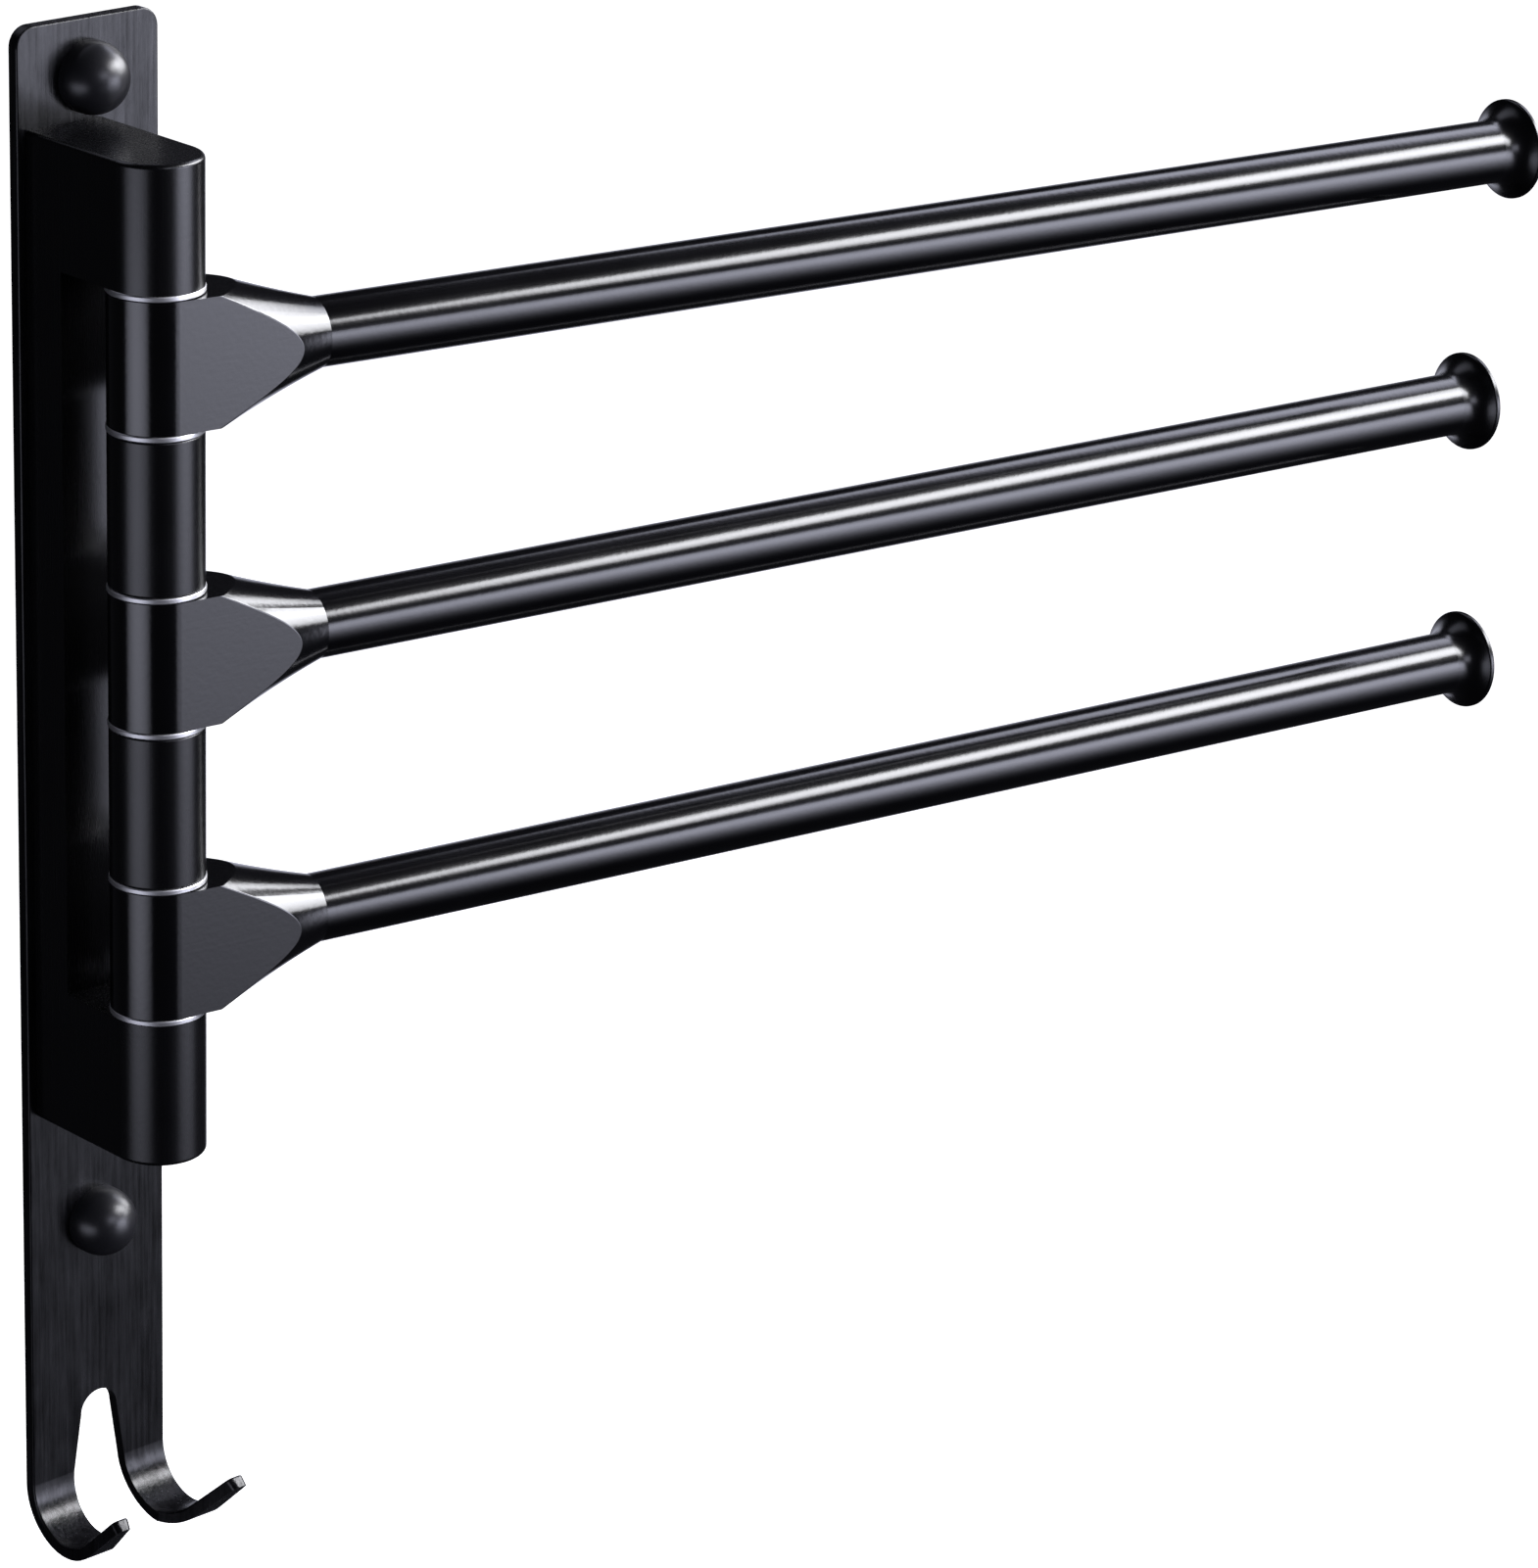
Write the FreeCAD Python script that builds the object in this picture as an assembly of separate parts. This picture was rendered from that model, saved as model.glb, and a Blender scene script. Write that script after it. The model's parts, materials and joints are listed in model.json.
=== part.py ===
"""Wall towel rack with three swing-out arms on one upright hinge pin.

Millimetres. X runs across the wall plate, -Y points into the room, +Z is up.
The origin is on the plate's back face, midway between its two wall screw holes.
"""
import FreeCAD, Part
import math
import os

V = FreeCAD.Vector
RIGHT, ROOM, UP = V(1, 0, 0), V(0, -1, 0), V(0, 0, 1)

# Driving dimensions of the wall plate
plate_width = 34.0
plate_thickness = 2.5
plate_top_margin = 11.5       # from the upper wall screw to the plate's top edge
plate_corner_radius = 4.0
plate_edge_round = 0.4        # along the front's long edges, top and hooks
wall_screw_hole_radius = 2.75
cap_above_bracket = 1.3       # clear of the bracket's top, below the upper dome cap
cap_below_bracket = 19.5      # clear of the bracket's foot, above the lower dome cap

# Forked lower end, bent forward into two hooks
hook_drop = 55.9              # from the lower wall screw to the start of the bend
hook_bend_radius = 9.9        # inside of the bend
hook_bend_angle = 134.0       # degrees, from hanging down to rising forward
hook_leg_length = 13.5        # straight end of each finger after the bend
hook_tip_width = 3.4
tip_round_share = 0.4         # of the tip's width
slot_drop = 38.9              # from the lower wall screw to the slot's rounded top
slot_top_width = 9.2
slot_bend_width = 13.0        # at the start of the bend
slot_bottom_width = 15.4      # at the lowest point of the bend

# Hinge stack: washer, knuckle, washer, spacer, and so on down the pin
arm_count = 3
barrel_radius = 9.5
washer_thickness = 1.2
washer_lip = 0.2              # how far a washer stands out past the barrels
washer_round = 0.3
knuckle_height = 26.3
spacer_height = 31.2
spacer_round = 0.4
end_play = 0.1                # above and below each knuckle
pin_radius = 4.0
pin_chamfer_share = 0.125     # of the pin's radius
running_clearance = 0.05      # radial, bush on pin
seat_clearance = 0.05         # radial, pieces that stay put on each other

# Bracket
pivot_left = 5.5              # the pin's axis is this far left of the plate's middle
pivot_standoff = 27.5         # and this far in front of the plate's front face
bracket_upper_arm = 25.5
bracket_lower_arm = 30.2
bracket_spine_depth = 10.5
bracket_edge_round = 0.9
pin_cover = 8.0               # metal left above the pin in the upper arm
plug_radius = 5.0
plug_length = 8.0
plug_recess = 0.4
plug_socket_width = 5.0       # across the flats of its hexagon
plug_socket_depth = 4.5

# Countersunk screws that hold the bracket from behind the plate
bracket_screw_spacing = 88.0
bracket_screw_radius = 2.0
bracket_screw_head_radius = 4.0
bracket_screw_head_height = 2.1
bracket_screw_length = 10.0
bracket_screw_recess = 0.2
bracket_screw_socket_width = 2.5
bracket_screw_socket_depth = 1.2

# Knuckle: a barrel with a neck that flares from the tube and is cut flat
neck_length = 34.8            # from the pin's axis to the tube
neck_root = 8.6               # where the flare is widest
neck_root_radius = 16.4
neck_middle_radius = 11.35
neck_end_radius = 7.15
neck_seam_turn = 45           # degrees, keeps the flare's seam off its flats' rims
bush_wall = 1.5
spigot_length = 18.0
knuckle_edge_round = 0.35

# Arm tube and its flared end cap
arm_length = 341.0            # from the pin's axis to the face of the end cap
tube_radius = 7.0
tube_wall = 1.0
cap_radius = 11.0
cap_flare_length = 6.0
cap_rim_thickness = 1.2
cap_crown = 1.0
cap_plug_length = 12.0
cap_edge_round = 0.5
flare_middle_shares = (0.62, 0.27)  # of the flare's length and rise, sets its curve
crown_middle_share = 0.75     # of the crown, reached half-way in from the rim

# How far each arm stands out from the wall as drawn, in degrees, top arm first
arm_rest_angles = [9.2, 7.9, 8.7]

# Dome caps over the wall screws, and the collars that they snap on to
dome_radius = 7.2
dome_wall = 1.0
dome_skirt = 1.5
collar_thickness = 1.2
collar_clearance = 0.1

overrun = 2.0                 # how far cutters reach past what they cut

# Places worked out from the sizes above
pivot_x = -pivot_left
pivot_y = -(plate_thickness + pivot_standoff)
bend_outer_radius = hook_bend_radius + plate_thickness
bend_centre_y = -(plate_thickness + hook_bend_radius)
knuckle_space = knuckle_height + 2 * end_play
stack_height = (
    2 * arm_count * washer_thickness + arm_count * knuckle_space + (arm_count - 1) * spacer_height)
bracket_height = bracket_upper_arm + stack_height + bracket_lower_arm
wall_screw_spacing = cap_above_bracket + bracket_height + cap_below_bracket + 2 * dome_radius
plate_top_z = wall_screw_spacing / 2 + plate_top_margin
bend_start_z = -wall_screw_spacing / 2 - hook_drop
slot_top_z = -wall_screw_spacing / 2 - slot_drop
bracket_top_z = wall_screw_spacing / 2 - dome_radius - cap_above_bracket
bracket_bottom_z = bracket_top_z - bracket_height
window_top_z = bracket_top_z - bracket_upper_arm
window_bottom_z = window_top_z - stack_height
stack_middle_z = (window_top_z + window_bottom_z) / 2
spine_front_y = -(plate_thickness + bracket_spine_depth)
pin_top_z = bracket_top_z - pin_cover
plug_bottom_z = bracket_bottom_z + plug_recess
plug_top_z = plug_bottom_z + plug_length
bush_radius = pin_radius + running_clearance + bush_wall
tube_inner_radius = tube_radius - tube_wall
spigot_radius = tube_inner_radius - seat_clearance
cap_base = arm_length - cap_crown - cap_rim_thickness - cap_flare_length


def save(shape, node):
    """Write one piece, or one group of alike pieces, under its own name."""
    if not shape.isValid():
        print("not valid:", node)
    shape.exportStep("parts/" + node + ".step")
    print(node, "solids", len(shape.Solids), "volume", round(shape.Volume, 1))


def rod(radius, base, along, length):
    return Part.makeCylinder(radius, length, base, along)


def block(low, high):
    return Part.makeBox(high.x - low.x, high.y - low.y, high.z - low.z, low)


def chain(points):
    """Straight edges from point to point."""
    return [Part.makeLine(a, b) for a, b in zip(points, points[1:])]


def turned(points, base, along):
    """Solid of revolution about the line through base: a closed outline of points."""
    face = Part.Face(Part.Wire(chain(points + points[:1])))
    return face.revolve(base, along, 360)


def hexagon_prism(width, base, along, length):
    """Six-sided cutter for a hexagon socket, width across its flats."""
    corner = width / math.sqrt(3)
    side = V(0, 1, 0) if abs(along.y) < 1 else RIGHT
    third = along.cross(side)
    corners = []
    for step in range(7):
        turn = math.radians(60 * step)
        corners.append(base + side * (corner * math.cos(turn)) + third * (corner * math.sin(turn)))
    return Part.Face(Part.Wire(chain(corners))).extrude(along * length)


def round_edges(shape, radius, wanted):
    """Round the edges that wanted() picks."""
    picked = [edge for edge in shape.Edges if wanted(edge)]
    return shape.makeFillet(radius, picked) if picked else shape


def bend_point(radius, angle):
    """A point of the hook's bend, angle in degrees from its start."""
    turn = math.radians(angle)
    return V(0, bend_centre_y + radius * math.cos(turn), bend_start_z - radius * math.sin(turn))


def hook_strip():
    """The plate and its bent end, as one bent strip across the whole width."""
    turn = math.radians(hook_bend_angle)
    rise = V(0, -math.sin(turn), -math.cos(turn)) * hook_leg_length
    back_end = bend_point(bend_outer_radius, hook_bend_angle)
    front_end = bend_point(hook_bend_radius, hook_bend_angle)
    back_middle = bend_point(bend_outer_radius, hook_bend_angle / 2)
    front_middle = bend_point(hook_bend_radius, hook_bend_angle / 2)
    top_back = V(0, 0, plate_top_z)
    top_front = V(0, -plate_thickness, plate_top_z)
    bend_back = V(0, 0, bend_start_z)
    bend_front = V(0, -plate_thickness, bend_start_z)
    edges = [
        Part.makeLine(top_back, bend_back),
        Part.Arc(bend_back, back_middle, back_end).toShape(),
        Part.makeLine(back_end, back_end + rise),
        Part.makeLine(back_end + rise, front_end + rise),
        Part.makeLine(front_end + rise, front_end),
        Part.Arc(front_end, front_middle, bend_front).toShape(),
        Part.makeLine(bend_front, top_front),
        Part.makeLine(top_front, top_back),
    ]
    face = Part.Face(Part.Wire(edges))
    face.translate(V(-plate_width / 2, 0, 0))
    return face.extrude(RIGHT * plate_width)


def slot_cutter():
    """Opening between the fingers: an upright wedge, then a wider one in plan."""
    top = slot_top_width / 2
    middle = slot_bend_width / 2
    low = slot_bottom_width / 2
    bottom_z = bend_start_z - bend_outer_radius - overrun
    shoulder_z = slot_top_z - top
    left_shoulder = V(-top, overrun, shoulder_z)
    right_shoulder = V(top, overrun, shoulder_z)
    crown = V(0, overrun, slot_top_z)
    upright = [Part.Arc(left_shoulder, crown, right_shoulder).toShape()] + chain([
        right_shoulder,
        V(middle, overrun, bend_start_z),
        V(low, overrun, bottom_z),
        V(-low, overrun, bottom_z),
        V(-middle, overrun, bend_start_z),
        left_shoulder,
    ])
    rear = Part.Face(Part.Wire(upright)).extrude(ROOM * (overrun - bend_centre_y))
    turn = math.radians(hook_bend_angle)
    bend_end_y = bend_point(bend_outer_radius, hook_bend_angle).y
    tip_y = bend_end_y - hook_leg_length * math.sin(turn)
    tip = plate_width / 2 - hook_tip_width
    spread = (tip - low) / (bend_centre_y - tip_y)
    far_y = tip_y - overrun
    far = tip + spread * overrun
    plan = chain([
        V(-low, bend_centre_y, bottom_z),
        V(low, bend_centre_y, bottom_z),
        V(far, far_y, bottom_z),
        V(-far, far_y, bottom_z),
        V(-low, bend_centre_y, bottom_z),
    ])
    front_height = bend_start_z - bottom_z + hook_leg_length
    front = Part.Face(Part.Wire(plan)).extrude(UP * front_height)
    return rear.fuse(front)


def hook_tip_edge(edge):
    """The short edges through the thickness at the fingers' tips."""
    turn = math.radians(hook_bend_angle)
    leg_top_z = bend_point(hook_bend_radius, hook_bend_angle).z - hook_leg_length * math.cos(turn)
    box = edge.BoundBox
    near_tip = box.ZMax < bend_start_z + hook_leg_length and box.ZMax > leg_top_z - plate_thickness
    in_front = box.YMax < bend_centre_y
    return near_tip and in_front and box.XLength < plate_thickness and edge.Length < 2 * plate_thickness


def plate_rim_edge(edge):
    """The front's two upright edges, which lead on round the top and along the hooks."""
    box = edge.BoundBox
    on_front = abs(box.YMax + plate_thickness) < plate_edge_round and box.YLength < plate_edge_round
    at_side = box.XLength < plate_edge_round and abs(box.Center.x) > plate_width / 2 - plate_edge_round
    return on_front and at_side and box.ZLength > bracket_height


def bracket_screw_places():
    return [V(pivot_x, 0, stack_middle_z + bracket_screw_spacing * step) for step in (1, 0, -1)]


def wall_screw_places():
    return [V(0, 0, wall_screw_spacing / 2 * side) for side in (1, -1)]


def countersunk(base, radius, head_radius, head_height, length, recess):
    """A countersunk screw's outline, head at the back of the plate, as a solid."""
    start = base + ROOM * recess
    points = [
        V(0, 0, 0),
        V(head_radius, 0, 0),
        V(radius, -head_height, 0),
        V(radius, -length, 0),
        V(0, -length, 0),
    ]
    body = turned(points, V(0, 0, 0), ROOM)
    body.translate(start)
    return body


def wall_plate():
    plate = hook_strip().cut(slot_cutter())
    plate = round_edges(plate, plate_corner_radius, lambda edge: (
        edge.BoundBox.ZMin > plate_top_z - overrun and edge.BoundBox.YLength > plate_thickness / 2
        and edge.BoundBox.XLength < plate_thickness))
    plate = round_edges(plate, hook_tip_width * tip_round_share, hook_tip_edge)
    plate = round_edges(plate, plate_edge_round, plate_rim_edge)
    for place in wall_screw_places():
        behind = place - ROOM * overrun
        plate = plate.cut(rod(wall_screw_hole_radius, behind, ROOM, plate_thickness + 2 * overrun))
    for place in bracket_screw_places():
        head = countersunk(
            place, bracket_screw_radius + seat_clearance, bracket_screw_head_radius + seat_clearance,
            bracket_screw_head_height, bracket_screw_length, bracket_screw_recess)
        mouth = rod(bracket_screw_head_radius + seat_clearance, place - ROOM * overrun, ROOM,
                    overrun + bracket_screw_recess)
        plate = plate.cut(head).cut(mouth)
    return plate


def round_front(low_z, high_z):
    """The bracket's section between two heights: flat sides, round front."""
    width = V(barrel_radius, 0, 0)
    axis = V(pivot_x, pivot_y, low_z)
    back = V(pivot_x, -plate_thickness, low_z)
    edges = chain([axis + width, back + width, back - width, axis - width])
    edges.append(Part.Arc(axis - width, axis + ROOM * barrel_radius, axis + width).toShape())
    return Part.Face(Part.Wire(edges)).extrude(UP * (high_z - low_z))


def bracket_end_edge(edge):
    """The bracket's outer end rims, which are gently rounded, not those on the plate."""
    box = edge.BoundBox
    at_top = abs(box.ZMin - bracket_top_z) < end_play and box.ZLength < end_play
    at_bottom = abs(box.ZMin - bracket_bottom_z) < end_play and box.ZLength < end_play
    return (at_top or at_bottom) and box.YMin < -plate_thickness - end_play


def hinge_bracket():
    bracket = round_front(bracket_bottom_z, bracket_top_z)
    bracket = round_edges(bracket, bracket_edge_round, bracket_end_edge)
    window = block(
        V(pivot_x - barrel_radius - overrun, pivot_y - barrel_radius - overrun, window_bottom_z),
        V(pivot_x + barrel_radius + overrun, spine_front_y, window_top_z))
    bracket = bracket.cut(window)
    foot = V(pivot_x, pivot_y, bracket_bottom_z)
    bracket = bracket.cut(rod(pin_radius + seat_clearance, foot, UP, pin_top_z + seat_clearance - foot.z))
    plug_bore = rod(plug_radius + seat_clearance, foot - UP * overrun, UP, plug_top_z - foot.z + overrun)
    bracket = bracket.cut(plug_bore)
    hole_depth = bracket_screw_length + bracket_screw_recess + seat_clearance
    for place in bracket_screw_places():
        bracket = bracket.cut(rod(bracket_screw_radius + seat_clearance, place, ROOM, hole_depth))
    return bracket


def bracket_screws():
    screws = []
    for place in bracket_screw_places():
        screw = countersunk(
            place, bracket_screw_radius, bracket_screw_head_radius,
            bracket_screw_head_height, bracket_screw_length, bracket_screw_recess)
        socket = hexagon_prism(
            bracket_screw_socket_width, place, ROOM, bracket_screw_recess + bracket_screw_socket_depth)
        screws.append(screw.cut(socket))
    return Part.makeCompound(screws)


def hinge_pin():
    foot = V(pivot_x, pivot_y, plug_top_z)
    pin = rod(pin_radius, foot, UP, pin_top_z - plug_top_z)
    chamfer = pin_radius * pin_chamfer_share
    return pin.makeChamfer(chamfer, [edge for edge in pin.Edges if edge.BoundBox.ZLength < chamfer])


def pin_plug():
    foot = V(pivot_x, pivot_y, plug_bottom_z)
    plug = rod(plug_radius, foot, UP, plug_length)
    return plug.cut(hexagon_prism(plug_socket_width, foot, UP, plug_socket_depth))


def ring(outer, inner, low_z, height, rim_round):
    """A ring round the pin's axis, its two outer rims rounded."""
    foot = V(pivot_x, pivot_y, low_z)
    disc = rod(outer, foot, UP, height)
    disc = round_edges(disc, rim_round, lambda edge: edge.BoundBox.ZLength < rim_round)
    return disc.cut(rod(inner, foot, UP, height))


def flared_neck():
    """The knuckle's neck before it is cut flat: wide at the barrel, slim at the tube."""
    middle = (neck_root + neck_length) / 2
    root = V(neck_root, 0, neck_root_radius)
    flare = Part.Arc(
        root, V(middle, 0, neck_middle_radius), V(neck_length, 0, neck_end_radius)).toShape()
    edges = chain([V(neck_length, 0, neck_end_radius), V(neck_length, 0, 0), V(0, 0, 0),
                   V(0, 0, neck_root_radius), root])
    outline = Part.Wire(Part.__sortEdges__(edges + [flare]))
    neck = Part.Face(outline).revolve(V(0, 0, 0), RIGHT, 360)
    neck.rotate(V(0, 0, 0), RIGHT, neck_seam_turn)
    return neck


def knuckle_rim_edge(edge):
    """The neck's curved outline edges and the rims of the barrel's ends."""
    box = edge.BoundBox
    on_neck = box.XMin > neck_root - end_play and box.XMax < neck_length - end_play
    return on_neck and edge.Length > knuckle_height / 4


def knuckle():
    """At the pin's axis, the neck along +X, half its height above and below zero."""
    half = knuckle_height / 2
    slab = block(V(0, -barrel_radius, -half), V(neck_length, barrel_radius, half))
    neck = flared_neck().common(slab)
    barrel = rod(barrel_radius, V(0, 0, -half), UP, knuckle_height)
    body = barrel.fuse(neck).removeSplitter().Solids[0]
    body = round_edges(body, knuckle_edge_round, knuckle_rim_edge)
    spigot = rod(spigot_radius, V(neck_length - overrun, 0, 0), RIGHT, spigot_length + overrun)
    body = body.fuse(spigot)
    bore = rod(bush_radius, V(0, 0, -half - overrun), UP, knuckle_height + 2 * overrun)
    return body.cut(bore)


def arm_tube():
    start = V(neck_length, 0, 0)
    length = cap_base - neck_length
    return rod(tube_radius, start, RIGHT, length).cut(rod(tube_inner_radius, start, RIGHT, length))


def end_cap():
    """Trumpet flare with a thin rim and a slightly crowned face, plugged into the tube."""
    rim_start = cap_base + cap_flare_length
    rim_end = rim_start + cap_rim_thickness
    flare_rise = cap_radius - tube_radius
    along_share, rise_share = flare_middle_shares
    flare_middle = V(cap_base + cap_flare_length * along_share, 0, tube_radius + flare_rise * rise_share)
    rim_low = V(rim_start, 0, cap_radius)
    rim_high = V(rim_end, 0, cap_radius)
    face_middle = V(arm_length, 0, 0)
    face_bow = V(rim_end + cap_crown * crown_middle_share, 0, cap_radius / 2)
    edges = [
        Part.Arc(V(cap_base, 0, tube_radius), flare_middle, rim_low).toShape(),
        Part.makeLine(rim_low, rim_high),
        Part.Arc(rim_high, face_bow, face_middle).toShape(),
    ] + chain([face_middle, V(cap_base, 0, 0), V(cap_base, 0, tube_radius)])
    cap = Part.Face(Part.Wire(edges)).revolve(V(0, 0, 0), RIGHT, 360)
    cap = round_edges(cap, cap_edge_round, lambda edge: (
        edge.BoundBox.ZLength > 2 * cap_radius - cap_edge_round and edge.BoundBox.XLength < cap_edge_round))
    plug_start = V(cap_base - cap_plug_length, 0, 0)
    plug = rod(spigot_radius, plug_start, RIGHT, cap_plug_length + cap_rim_thickness)
    return cap.fuse(plug).removeSplitter()


def placed_arm_piece(shape, height, angle):
    """Swing a piece out from the wall about the pin, and lift it to its arm."""
    piece = shape.copy()
    piece.rotate(V(0, 0, 0), UP, -angle)
    piece.translate(V(pivot_x, pivot_y, height))
    return piece


def dome_cap(place):
    """Hollow screw cover: a short skirt and half a ball."""
    front = place + ROOM * plate_thickness
    crown = front + ROOM * dome_skirt
    inner = dome_radius - dome_wall

    def bowl(radius):
        ball = Part.makeSphere(radius, crown)
        reach = radius + overrun
        rear_half = rod(reach, front - ROOM * reach, ROOM, reach + dome_skirt)
        return ball.cut(rear_half).fuse(rod(radius, front, ROOM, dome_skirt))

    return bowl(dome_radius).cut(bowl(inner)).removeSplitter()


def cap_collar(place):
    """Ring that the wall screw clamps and the dome cap snaps on to."""
    front = place + ROOM * plate_thickness
    outer = dome_radius - dome_wall - collar_clearance
    return rod(outer, front, ROOM, collar_thickness).cut(
        rod(wall_screw_hole_radius, front, ROOM, collar_thickness))


def build_stack():
    """Washers, spacers and arms from the top of the bracket's window down."""
    bore = pin_radius + running_clearance
    washer_radius = barrel_radius + washer_lip
    level = window_top_z
    washer = 1
    for arm in range(arm_count):
        upper = ring(washer_radius, bore, level - washer_thickness, washer_thickness, washer_round)
        save(upper, "washer_%d" % washer)
        level -= washer_thickness + knuckle_space / 2
        build_arm(arm, level)
        level -= knuckle_space / 2 + washer_thickness
        lower = ring(washer_radius, bore, level, washer_thickness, washer_round)
        save(lower, "washer_%d" % (washer + 1))
        washer += 2
        if arm < arm_count - 1:
            level -= spacer_height
            save(ring(barrel_radius, bore, level, spacer_height, spacer_round), "spacer_%d" % (arm + 1))


def build_arm(arm, height):
    angle = arm_rest_angles[arm]
    number = arm + 1
    half = knuckle_height / 2
    foot = V(0, 0, -half)
    bush = rod(bush_radius, foot, UP, knuckle_height).cut(
        rod(pin_radius + running_clearance, foot, UP, knuckle_height))
    pieces = {"knuckle": knuckle(), "knuckle_bush": bush, "arm_tube": arm_tube(), "end_cap": end_cap()}
    for name, shape in pieces.items():
        save(placed_arm_piece(shape, height, angle), "%s_%d" % (name, number))
    print("arm", number, "axis height", round(height, 3))


os.makedirs("parts", exist_ok=True)
save(wall_plate(), "wall_plate")
save(hinge_bracket(), "hinge_bracket")
save(bracket_screws(), "bracket_screws")
save(hinge_pin(), "hinge_pin")
save(pin_plug(), "pin_plug")
build_stack()
for place, name in zip(wall_screw_places(), ("upper", "lower")):
    save(dome_cap(place), "dome_cap_" + name)
    save(cap_collar(place), "cap_collar_" + name)
print("wall screws apart", round(wall_screw_spacing, 3))
print("plate top", plate_top_z, "bracket", bracket_top_z, bracket_bottom_z)
print("hook bottom", bend_start_z - bend_outer_radius, "window", window_top_z, window_bottom_z)
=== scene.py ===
# %% [markdown]
# A wall towel rack, dressed for its portrait.
#
# The rack is a black metal strip on a wall. Its lower end is forked and bent into two hooks. In front of
# it stands a hinge bracket, and on the bracket's pin swing three tube arms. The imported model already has
# every piece at its real size, so this lesson is about light and finish: black metal has almost no colour
# of its own, and what the eye reads as its shape is the reflection of the lamps around it.

# %% Load the frame
import bpy
import json
import math
from mathutils import Matrix, Vector


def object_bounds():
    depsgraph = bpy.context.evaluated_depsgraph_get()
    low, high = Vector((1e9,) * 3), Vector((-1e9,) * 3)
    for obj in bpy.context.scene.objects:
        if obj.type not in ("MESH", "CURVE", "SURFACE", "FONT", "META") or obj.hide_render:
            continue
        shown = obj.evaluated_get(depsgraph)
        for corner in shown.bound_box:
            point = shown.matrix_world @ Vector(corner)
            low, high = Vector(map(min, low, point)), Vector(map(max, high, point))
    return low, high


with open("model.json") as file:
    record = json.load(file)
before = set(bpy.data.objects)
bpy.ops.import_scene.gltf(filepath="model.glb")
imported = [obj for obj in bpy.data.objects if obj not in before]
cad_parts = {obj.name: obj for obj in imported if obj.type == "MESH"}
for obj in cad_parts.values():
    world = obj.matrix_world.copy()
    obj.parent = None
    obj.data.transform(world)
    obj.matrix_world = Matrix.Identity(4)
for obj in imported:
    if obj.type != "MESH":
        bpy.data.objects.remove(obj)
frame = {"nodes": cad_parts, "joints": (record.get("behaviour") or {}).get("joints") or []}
nodes = frame["nodes"]
cad_low, cad_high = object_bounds()
print("pieces", len(nodes), "from", [round(c, 4) for c in cad_low], "to", [round(c, 4) for c in cad_high])

# %% [markdown]
# Everything here is in metres, because the frame is. Small things are easier to think of in millimetres,
# so a named unit turns one into the other. The joints say where the arms turn and how far they stand out
# from the wall at rest: an arm's lower stop lies along the wall, so its rest angle is minus that stop.

# %% Units and the arms' own directions
mm = 0.001
arm_joints = {joint["child"]: joint for joint in frame["joints"]}
rest_angle = {body: math.radians(-joint["range_deg"][0]) for body, joint in arm_joints.items()}
print("arms stand out", {body: round(math.degrees(angle), 1) for body, angle in rest_angle.items()})


# %% [markdown]
# A direction is handiest as two angles, as on a map of the sky. Azimuth 0 is straight in front of the
# wall and grows to the right, elevation is the height above the horizon. The camera and the lamps could
# be typed in as coordinates, but then nobody could tell what a lamp lights. With this one helper each of
# them is placed by where it stands as the rack sees it.

# %% Directions by azimuth and elevation
def direction(azimuth, elevation):
    """A step of length one towards an azimuth and an elevation in degrees."""
    turn, lift = math.radians(azimuth), math.radians(elevation)
    return Vector((math.sin(turn) * math.cos(lift), -math.cos(turn) * math.cos(lift), math.sin(lift)))


def collect(thing):
    """Put a new object into the scene and hand it back."""
    bpy.context.scene.collection.objects.link(thing)
    return thing


print("straight in front of the wall is", [round(c, 1) for c in direction(0, 0)])

# %% [markdown]
# The photograph was taken from the left, a little above, with a long lens, so that the arms run away to
# the right and hardly shrink. The lens is given as the focal length in pixels of the 1570 by 1601 frame.
# The taller side of that frame spans the sensor's width, which turns it into millimetres. The picture
# leans by two degrees, so the camera is rolled by as much about its own line of sight. A constraint could
# aim the camera, but a matrix says the same in one line and leaves nothing to be worked out later.

# %% Camera
frame_height = 1601
focal_pixels = 6200
sensor_width = 36.0
farthest_seen = 50.0
camera_distance = 1325.885 * mm
camera_target = Vector((171.059, -20.0, -59.801)) * mm
camera_azimuth, camera_elevation, camera_roll = -44.211, 20.441, 1.914

towards_camera = direction(camera_azimuth, camera_elevation)
camera_data = bpy.data.cameras.new("portrait_camera")
camera_data.sensor_width = sensor_width
camera_data.lens = focal_pixels / frame_height * sensor_width
camera_data.clip_end = farthest_seen
camera = collect(bpy.data.objects.new("portrait_camera", camera_data))
look = (-towards_camera).to_track_quat("-Z", "Y").to_matrix()
roll = Matrix.Rotation(math.radians(camera_roll), 3, "Z")
stand = Matrix.Translation(camera_target + towards_camera * camera_distance)
camera.matrix_world = stand @ (look @ roll).to_4x4()
bpy.context.scene.camera = camera
print("lens", round(camera_data.lens, 2), "mm at", [round(c, 3) for c in camera.location])

# %% [markdown]
# Shaders and graded lamps are graphs of nodes, and a graph drawn by hand soon grows unreadable. Here one
# method adds any node: its type, its settings, then the values or links of its sockets. What it hands
# back is a Signal, one output socket that takes part in plain arithmetic, so that a formula in the text
# reads like a formula on paper, and 1 - height adds the Math node that it names. A Mix node has sockets
# of the same name for numbers and for colours, so the ones for colours are called by their places.

# %% One method for nodes, one class for signals
MIX_FACTOR, MIX_A, MIX_B, MIX_RESULT = 0, 6, 7, 2


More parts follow.
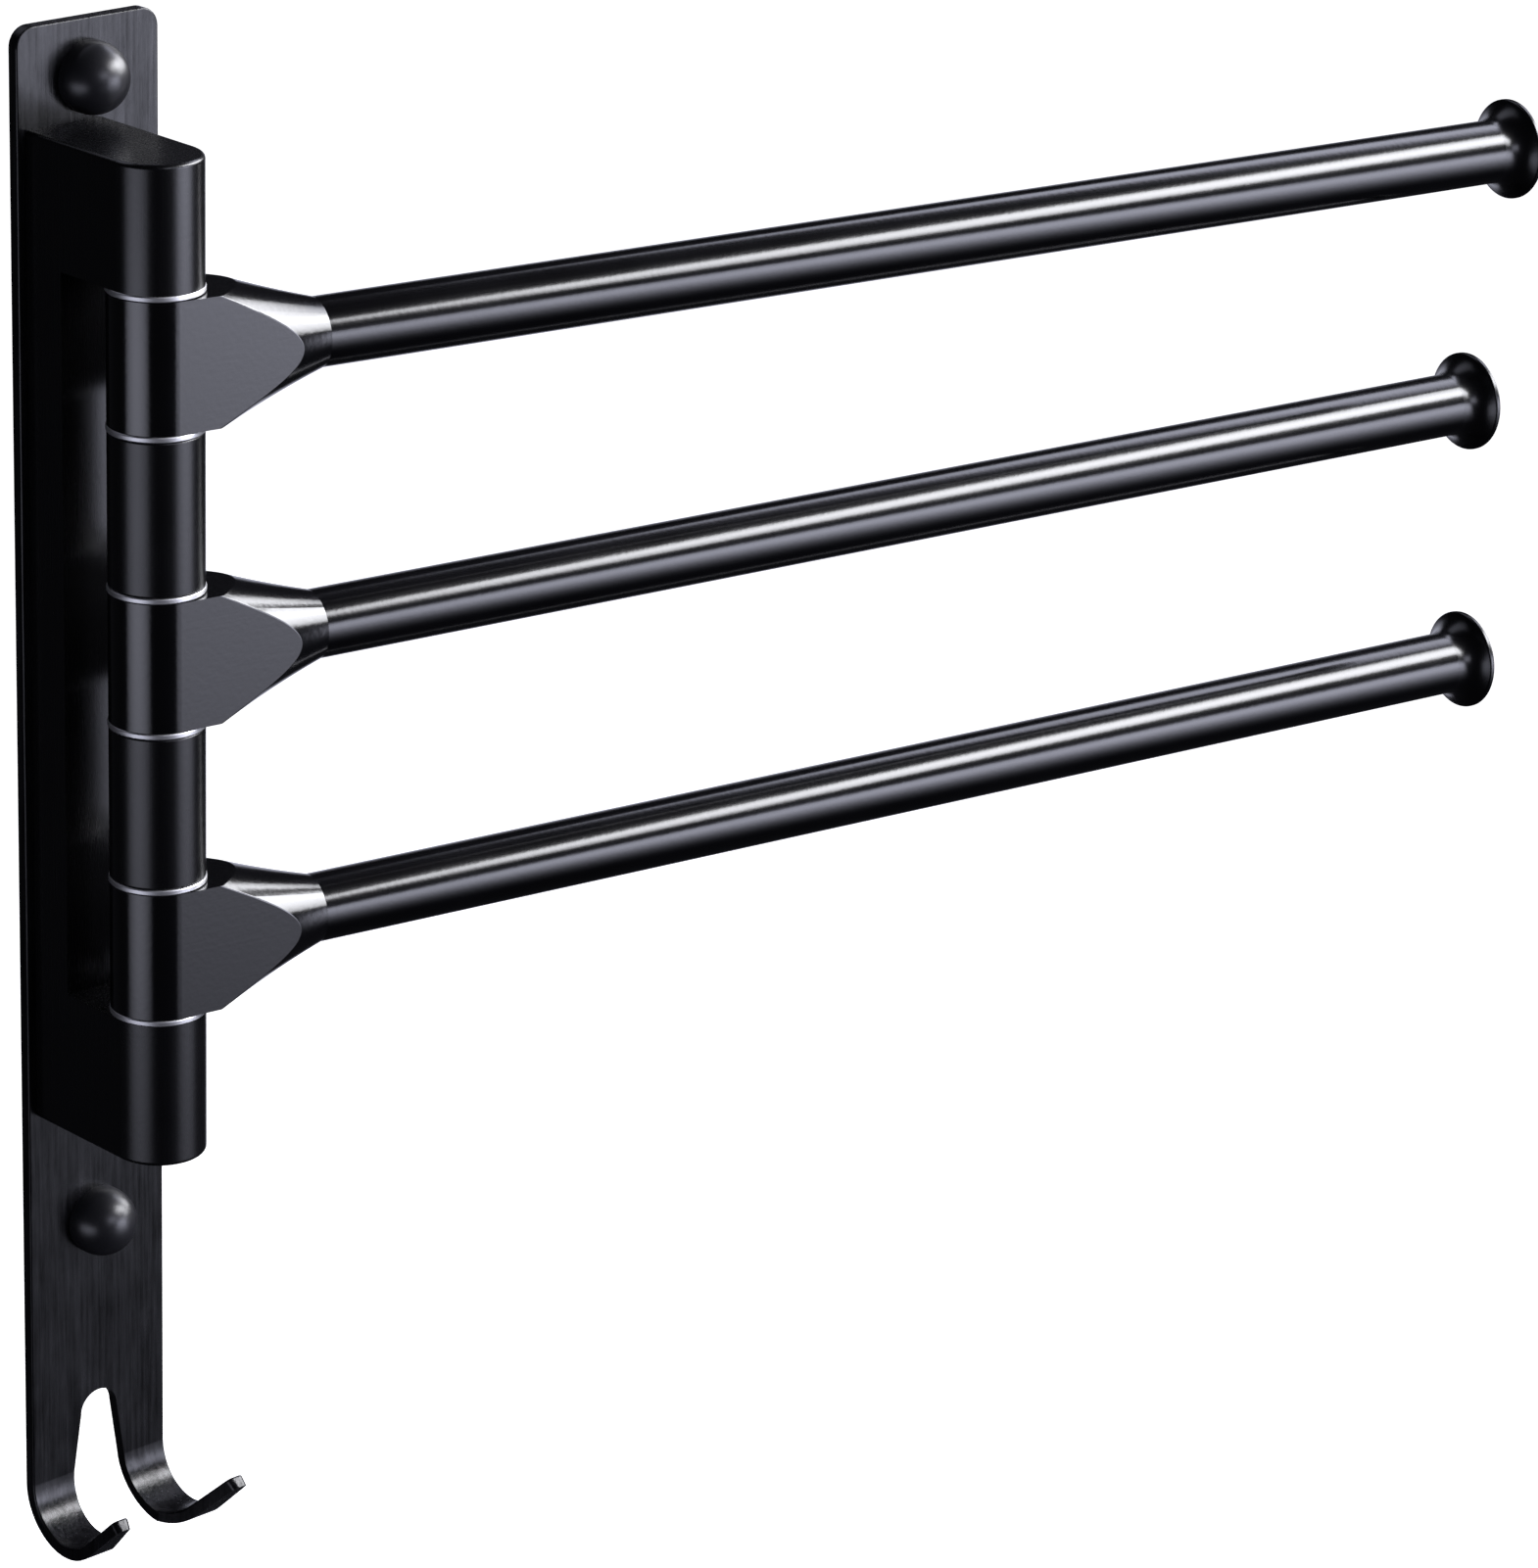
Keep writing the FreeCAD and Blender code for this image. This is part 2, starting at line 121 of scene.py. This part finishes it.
class Graph:
    """A node tree to draw in."""

    def __init__(self, tree):
        self.tree = tree

    def node(self, kind, settings=None, values=None, output=0):
        """Add a node: its settings first, then its sockets, each a value or a Signal."""
        made = self.tree.nodes.new(kind)
        for name, setting in (settings or {}).items():
            setattr(made, name, setting)
        for name, value in (values or {}).items():
            if isinstance(value, Signal):
                self.tree.links.new(value.socket, made.inputs[name])
            else:
                made.inputs[name].default_value = value
        return Signal(self, made.outputs[output])


class Signal:
    """One output socket, usable in plain arithmetic on numbers."""

    def __init__(self, graph, socket):
        self.graph = graph
        self.socket = socket

    def math(self, operation, *values):
        return self.graph.node("ShaderNodeMath", {"operation": operation}, dict(enumerate(values)))

    def __add__(self, other):
        return self.math("ADD", self, other)

    def __radd__(self, other):
        return self.math("ADD", other, self)

    def __sub__(self, other):
        return self.math("SUBTRACT", self, other)

    def __rsub__(self, other):
        return self.math("SUBTRACT", other, self)

    def __mul__(self, other):
        return self.math("MULTIPLY", self, other)

    def __rmul__(self, other):
        return self.math("MULTIPLY", other, self)

    def __pow__(self, other):
        return self.math("POWER", self, other)

    def __rpow__(self, other):
        return self.math("POWER", other, self)


print("signals add, subtract, multiply and raise to a power")


# %% [markdown]
# Black gloss needs a plain room. The floor is a wide pale disc whose edge sweeps up and all round, as a
# photographer's paper does, so that no horizon shows from any side. It lies well below the rack, as the
# floor of a bathroom would. Its own glow makes it white, because a floor lit by the lamps alone would take
# their unevenness, and it is kept out of reflections: a mirror-like tube would otherwise turn pale below.
# An outline turned about the upright axis makes it, which costs fewer faces than a grid would.

# %% The paper sweep under and around the rack
floor_level = -1.4
paper_radius, paper_sweep, paper_height = 4.0, 2.5, 6.0
paper_pinhole = 1 * mm
sweep_steps, paper_segments = 12, 96


def lathe_mesh(name, outline, segments):
    """Turn an outline of (radius, height) pairs about the upright axis."""
    rings = len(outline)
    points = []
    for step in range(segments):
        turn = 2 * math.pi * step / segments
        points += [(r * math.cos(turn), r * math.sin(turn), z) for r, z in outline]
    faces = []
    for step in range(segments):
        here, there = step * rings, (step + 1) % segments * rings
        faces += [(here + i, there + i, there + i + 1, here + i + 1) for i in range(rings - 1)]
    mesh = bpy.data.meshes.new(name)
    mesh.from_pydata(points, [], faces)
    mesh.polygons.foreach_set("use_smooth", [True] * len(mesh.polygons))
    return mesh


quarter_turns = [math.pi / 2 * step / sweep_steps for step in range(sweep_steps + 1)]
paper_outline = [(paper_pinhole, floor_level)]
paper_outline += [
    (paper_radius + paper_sweep * math.sin(turn), floor_level + paper_sweep * (1 - math.cos(turn)))
    for turn in quarter_turns]
paper_outline.append((paper_radius + paper_sweep, paper_height))
paper_mesh = lathe_mesh("paper_floor", paper_outline, paper_segments)
paper = collect(bpy.data.objects.new("paper_floor", paper_mesh))
paper.visible_glossy = paper.visible_diffuse = paper.visible_shadow = False
print("paper", 2 * (paper_radius + paper_sweep), "m wide,", -floor_level, "m below the rack's middle")

# %% [markdown]
# The paper's finish is one even white. It needs no pattern, so its few values go straight to the shader's
# sockets. The standard view transform keeps that white pure in the picture, where the filmic one would
# grey it.

# %% Pale paper and the picture's own transform
paper_finish = bpy.data.materials.new("pale_paper")
paper_finish.use_nodes = True
paper_shader = paper_finish.node_tree.nodes["Principled BSDF"]
for socket, value in {
        "Base Color": (0.9, 0.9, 0.9, 1), "Roughness": 0.9,
        "Emission Color": (1, 1, 1, 1), "Emission Strength": 1.0}.items():
    paper_shader.inputs[socket].default_value = value
paper.data.materials.append(paper_finish)
bpy.context.scene.view_settings.view_transform = "Standard"
print(paper_finish.name, "on", paper.name)


# %% [markdown]
# The lamps are softboxes: lit cloths whose picture shows in the black metal. A tube mirrors a box as a
# long streak, a flat face as an even grey. So each box is set by what it should do in the reflection: by
# its direction, by the angles that it spans, and by its radiance, which is how bright the cloth looks.
# A rectangular lamp of power P and area A has a radiance of P / (pi * A), and the helper turns that round.
# No cloth is lit evenly, and an even one leaves hard edges on the metal. Here the brightness is a hill
# over the cloth, place ** rise * (1 - place) ** fall each way, scaled so that its top is one.

# %% A softbox with a hot spot
rack_middle = (cad_low + cad_high) / 2
cool_white = (0.82, 0.835, 1.0)
near_white = (0.95, 0.955, 1.0)


def hill(place, rise, fall):
    """A smooth hill between 0 and 1, highest at rise / (rise + fall)."""
    top = rise / (rise + fall)
    return place ** rise * (1 - place) ** fall * (1 / (top ** rise * (1 - top) ** fall))


def softbox(name, towards, spans, radiance, distance, upright, sideways, tint=cool_white):
    """A lit cloth seen from the rack towards (azimuth, elevation), spanning (wide, high) degrees.

    Its hill has the rise and fall of upright from its lower to its upper edge, and sideways for both
    from its left to its right edge.
    """
    wide, high = (2 * distance * math.tan(math.radians(span / 2)) for span in spans)
    data = bpy.data.lights.new(name, "AREA")
    data.shape = "RECTANGLE"
    data.size, data.size_y = wide, high
    data.energy = radiance * math.pi * wide * high
    data.color = tint
    data.use_nodes = True
    cloth = Graph(data.node_tree)
    place = cloth.node("ShaderNodeNewGeometry", output="Parametric")
    across = cloth.node("ShaderNodeSeparateXYZ", values={0: place}, output="X")
    height = cloth.node("ShaderNodeSeparateXYZ", values={0: place}, output="Y")
    glow = hill(across, sideways, sideways) * hill(height, *upright)
    cloth.tree.links.new(glow.socket, cloth.tree.nodes["Emission"].inputs["Strength"])
    lamp = collect(bpy.data.objects.new(name, data))
    outward = direction(*towards)
    facing = outward.to_track_quat("Z", "Y").to_matrix().to_4x4()
    lamp.matrix_world = Matrix.Translation(rack_middle + outward * distance) @ facing
    print(name, "radiance", radiance, "cloth", round(wide, 2), "by", round(high, 2), "m")


print("the boxes face", [round(c, 3) for c in rack_middle])

# %% [markdown]
# Six boxes make the picture. The right one paints the broad grey band along each tube and the grey of
# the knuckles' flats, and fades downwards, so that the lower arms are darker. The left one paints the
# soft left stripe down the barrels. A slim box high up makes the bright streak on each tube. The key
# far to the right whitens the flared necks, and a strip above it draws the fine line near each tube's
# top. A card in front puts a soft gleam on the domes and on the flare of each cap. Two weak boxes behind
# keep the back from going flat black, and a trace of light fills the room. A panorama could give all of
# this at once, but then no stripe could be moved by itself. The greys of the photograph lean to blue and
# its highlights hardly do, so the two hottest boxes are nearly white and the rest cool.

# %% The studio
softbox("right_softbox", towards=(29, -24), spans=(48, 76), radiance=8.6, distance=1.8,
        upright=(7.2, 1.5), sideways=0.5)
softbox("left_softbox", towards=(-84, -17), spans=(54, 28), radiance=2.6, distance=1.3,
        upright=(1.2, 0.4), sideways=1.0)
softbox("streak_box", towards=(46, 38), spans=(40, 19), radiance=23.0, distance=1.4,
        upright=(0.6, 0.4), sideways=0.4, tint=near_white)
softbox("right_key", towards=(74, 25), spans=(50, 30), radiance=15.5, distance=2.6,
        upright=(0.5, 0.6), sideways=0.35, tint=near_white)
softbox("top_strip", towards=(101, 44), spans=(36, 13), radiance=5.5, distance=2.6,
        upright=(0.4, 0.4), sideways=0.4)
softbox("front_card", towards=(-4, 20), spans=(30, 20), radiance=4.0, distance=2.6,
        upright=(0.5, 0.5), sideways=0.5)
softbox("rear_softbox", towards=(150, -16), spans=(50, 48), radiance=1.2, distance=2.6,
        upright=(0.5, 0.5), sideways=0.5)
softbox("rear_fill", towards=(-175, 52), spans=(60, 26), radiance=1.0, distance=2.6,
        upright=(0.5, 0.5), sideways=0.5)

room_radiance = 0.02
world = bpy.data.worlds.new("studio_room")
bpy.context.scene.world = world
world.use_nodes = True
room_light = world.node_tree.nodes["Background"]
room_light.inputs["Color"].default_value = (*cool_white, 1)
room_light.inputs["Strength"].default_value = room_radiance
print("room light", room_radiance)


# %% [markdown]
# Each finish is a Graph that ends in one shader. Values that are the same all over are set on the
# shader's own sockets; what changes over the surface is linked to them. Pictures of scratches could be
# wrapped round the pieces, but noise worked out in space needs no unwrapping and never repeats. Patterns
# are laid out in millimetres of the piece itself, which stay with the piece when its arm swings. An arm's
# own patterns are turned first, so that their X runs along the arm.

# %% Finish: one material under construction
class Finish(Graph):
    """A material whose shader takes even values at the start and patterns later."""

    def __init__(self, name, **uniform):
        self.material = bpy.data.materials.new(name)
        self.material.use_nodes = True
        super().__init__(self.material.node_tree)
        self.shader = self.tree.nodes["Principled BSDF"]
        for socket, value in uniform.items():
            self.input(socket).default_value = value

    def input(self, name):
        """The shader's socket called base_color, ior, roughness and so on."""
        return self.shader.inputs[name.replace("_", " ").title().replace("Ior", "IOR")]

    def drive(self, **sockets):
        """Link what changes over the surface to the shader."""
        for name, signal in sockets.items():
            self.tree.links.new(signal.socket, self.input(name))

    def place(self, turn=0.0):
        """Millimetres on the piece, turned about the upright axis."""
        metres = self.node("ShaderNodeTexCoord", output="Object")
        turned = self.node(
            "ShaderNodeVectorRotate", {"rotation_type": "Z_AXIS"}, {"Vector": metres, "Angle": turn})
        return self.node("ShaderNodeVectorMath", {"operation": "SCALE"}, {0: turned, "Scale": 1 / mm})

    def noise(self, place, scale, detail, roughness=0.5):
        """Cloudy values round one half; scale counts the clouds in a millimetre, along each axis."""
        scaled = self.node("ShaderNodeVectorMath", {"operation": "MULTIPLY"}, {0: place, 1: scale})
        return self.node("ShaderNodeTexNoise", {"noise_dimensions": "3D"}, {
            "Vector": scaled, "Scale": 1.0, "Detail": detail, "Roughness": roughness}, "Fac")

    def sharpened(self, cloudy, gain):
        """The same clouds with more contrast, kept between 0 and 1."""
        return self.node("ShaderNodeClamp", values={0: (cloudy - 0.5) * gain + 0.5})

    def blend(self, mask, dark, light):
        """A colour from dark, where the mask is 0, to light, where it is 1."""
        return self.node("ShaderNodeMix", {"data_type": "RGBA"}, {
            MIX_FACTOR: mask, MIX_A: dark, MIX_B: light}, MIX_RESULT)

    def relief(self, height, depth):
        """Bump of that depth in metres from a height between 0 and 1."""
        return self.node("ShaderNodeBump", values={
            "Height": height, "Strength": 1.0, "Distance": depth}, output="Normal")


def dress(names, finish):
    """Give CAD nodes a finish in their own material slots."""
    for name in names:
        for slot in nodes[name].material_slots:
            slot.material = finish.material
    print(finish.material.name, "on", ", ".join(names))


def even(scale):
    """The same scale along each axis."""
    return (scale, scale, scale)


def grey(level, blue=1.0):
    """A grey of that brightness, with its blue part raised or lowered a little."""
    return (level, level, level * blue, 1)


print("finishes measure their patterns in steps of", mm, "m")

# %% [markdown]
# The gloss black of the hinge and arms is an anodised or lacquered aluminium. A clean stand-in would use
# one black value, and it would look like plastic at once. Three quiet things make it metal: a faint orange
# peel in the surface, a roughness that drifts where hands have been, and fine lines left by drawing or
# turning, which pull the highlights out along the piece. One function makes them all, because they differ
# only in gloss, in tone, in how strongly the lacquer mirrors, and in the run of their lines.

# %% Gloss black, with its lines and its drift
lacquer_ior = 1.5
ink, soft_ink = grey(0.0005, 1.5), grey(0.0018, 1.3)


def gloss_black(name, roughness, grain, turn=0.0, ior=lacquer_ior, tones=(ink, soft_ink), grain_share=0.4):
    """Black lacquer whose lines are stretched by grain and turned with an arm."""
    drift, peel_depth = 0.05, 0.01 * mm
    hand_clouds, peel_clouds = even(0.05), even(0.9)
    finish = Finish(name, ior=ior)
    place = finish.place(turn)
    hands = finish.noise(place, hand_clouds, detail=3.0)
    peel = finish.noise(place, peel_clouds, detail=1.0)
    lines = finish.noise(place, grain, detail=3.0, roughness=0.6)
    finish.drive(
        base_color=finish.blend(hands, *tones),
        roughness=roughness + drift * (hands - 0.5) + drift * (lines - 0.5),
        normal=finish.relief(peel + lines * grain_share, peel_depth))
    return finish


print("black runs from", ink[:3], "to", soft_ink[:3])

# %% [markdown]
# The bracket and the spacers were drawn upright, so their lines run up the barrels. Knuckles and tubes
# have theirs along the arm, and each end cap was turned, so its lines ring it. The necks are the glossiest
# and mirror a little more than the tubes, because their flats shine most in the photograph. The bracket
# is the dullest of the four, which softens the stripes down its barrel. One finish for all would be
# simpler, but it would leave every edge of a reflection equally sharp.

# %% Hinge, arms and caps in black
upright_grain = (1.6, 1.6, 0.02)
along_arm_grain = (0.015, 2.0, 2.0)
turned_grain = (2.0, 0.05, 0.05)
bracket_roughness, knuckle_roughness, tube_roughness, cap_roughness = 0.27, 0.15, 0.17, 0.24
knuckle_ior = 1.6

dress(["hinge_bracket", "spacer_1", "spacer_2"], gloss_black(
    "black_bracket", bracket_roughness, upright_grain))
for body, angle in rest_angle.items():
    number = body.rsplit("_", 1)[1]
    dress(["knuckle_" + number], gloss_black(
        "black_knuckle_" + number, knuckle_roughness, along_arm_grain, angle, knuckle_ior))
    dress(["arm_tube_" + number], gloss_black(
        "black_tube_" + number, tube_roughness, along_arm_grain, angle))
    dress(["end_cap_" + number], gloss_black(
        "black_cap_" + number, cap_roughness, turned_grain, angle))

# %% [markdown]
# The dome caps are moulded plastic with a satin skin: no lines, only a very faint waviness, and a broad
# soft highlight. The gloss black can do that as well, with rounder clouds in place of its lines and a
# slightly greyer tone. The collars under them never see light, and keep the dull skin of a plain
# moulding, as do the pale bushes inside the knuckles. A mottle and a fine grit are enough for both.

# %% Plastic caps, collars and bushes
dome_tones = (grey(0.006, 1.2), grey(0.014, 1.2))
dome_roughness, dome_clouds, dome_waviness = 0.33, even(0.2), 0.1
plastic_ior = 1.46
collar_roughness, bush_roughness = 0.55, 0.45


def moulded(name, dark, light, roughness):
    """Plain plastic with a mottled tone and a fine grit."""
    mottle_clouds, grit_clouds = even(0.6), even(4.0)
    drift, grit_depth = 0.1, 0.02 * mm
    finish = Finish(name, ior=plastic_ior)
    place = finish.place()
    mottle = finish.noise(place, mottle_clouds, detail=4.0)
    grit = finish.noise(place, grit_clouds, detail=2.0)
    finish.drive(
        base_color=finish.blend(mottle, dark, light),
        roughness=roughness + drift * (mottle - 0.5),
        normal=finish.relief(grit, grit_depth))
    return finish


dress(["dome_cap_upper", "dome_cap_lower"], gloss_black(
    "black_dome", dome_roughness, dome_clouds, tones=dome_tones, grain_share=dome_waviness))
dress(["cap_collar_upper", "cap_collar_lower"], moulded(
    "dull_collar", grey(0.02), grey(0.04), collar_roughness))
dress(["knuckle_bush_%d" % n for n in (1, 2, 3)], moulded(
    "natural_bush", grey(0.71, 0.93), grey(0.83, 0.95), bush_roughness))


# %% [markdown]
# The wall plate is cut from sheet that was brushed along its length before it was blackened and
# lacquered. Anisotropy could stretch its highlights, but it leaves the face without a single stroke to
# see. Brushing shows in four places at once, in the tone, in the roughness, in the relief and in how
# thick the lacquer lies, and they have to agree, so one mask feeds all four. Long strokes make the mask,
# and slower clouds break them up, which keeps the sheet from looking printed.

# %% Brushed black of the wall plate
def brushed_black():
    """Brushed sheet under a thin lacquer that is rubbed through in strokes."""
    stroke_scale, cloud_scale = (1.2, 1.2, 0.04), (0.16, 0.16, 0.07)
    stroke_share, cloud_share, contrast = 0.6, 0.4, 3.4
    thickest_lacquer, base_roughness, roughness_swing = 0.48, 0.22, 0.14
    stroke_depth = 0.05 * mm
    finish = Finish(
        "brushed_plate", ior=lacquer_ior, specular_ior_level=0.2, coat_ior=lacquer_ior, coat_roughness=0.22)
    place = finish.place()
    strokes = finish.noise(place, stroke_scale, detail=5.0, roughness=0.65)
    clouds = finish.noise(place, cloud_scale, detail=4.0, roughness=0.6)
    rubbed = finish.sharpened(strokes * stroke_share + clouds * cloud_share, contrast)
    finish.drive(
        base_color=finish.blend(rubbed, grey(0.0005, 1.2), grey(0.006, 1.2)),
        coat_weight=thickest_lacquer * rubbed,
        roughness=base_roughness + roughness_swing * (rubbed - 0.5),
        normal=finish.relief(rubbed, stroke_depth))
    return finish


dress(["wall_plate"], brushed_black())


# %% [markdown]
# The washers are the only bright metal: thin turned rings of stainless steel between black barrels. A
# mirror finish would show one glint on each and lose the rest of the ring in black. The turning tool
# leaves fine rings round the rim, which spread each reflection up and down, so that the rim is bright
# nearly all the way round. The pin and the screws are steel too, ground and blackened.

# %% Steel of the washers, the pin and the screws
ring_lines, ground_lines, screw_grain = (0.1, 0.1, 9.0), (0.2, 0.2, 8.0), even(3.0)
washer_roughness, pin_roughness, screw_roughness = 0.42, 0.25, 0.38


def turned_steel(name, dark, light, roughness, lines_scale):
    """Steel with fine tool lines, which the scale stretches round the piece."""
    drift, line_depth = 0.16, 0.01 * mm
    finish = Finish(name, metallic=1.0)
    place = finish.place()
    lines = finish.noise(place, lines_scale, detail=4.0, roughness=0.6)
    finish.drive(
        base_color=finish.blend(lines, dark, light),
        roughness=roughness + drift * (lines - 0.5),
        normal=finish.relief(lines, line_depth))
    return finish


dress(["washer_%d" % n for n in range(1, 7)], turned_steel(
    "bright_washer", grey(0.55, 1.02), grey(0.68, 1.01), washer_roughness, ring_lines))
dress(["hinge_pin"], turned_steel(
    "ground_pin", grey(0.45, 1.03), grey(0.62, 1.03), pin_roughness, ground_lines))
dress(["bracket_screws", "pin_plug"], turned_steel(
    "blackened_screw", grey(0.05, 1.1), grey(0.12, 1.04), screw_roughness, screw_grain))
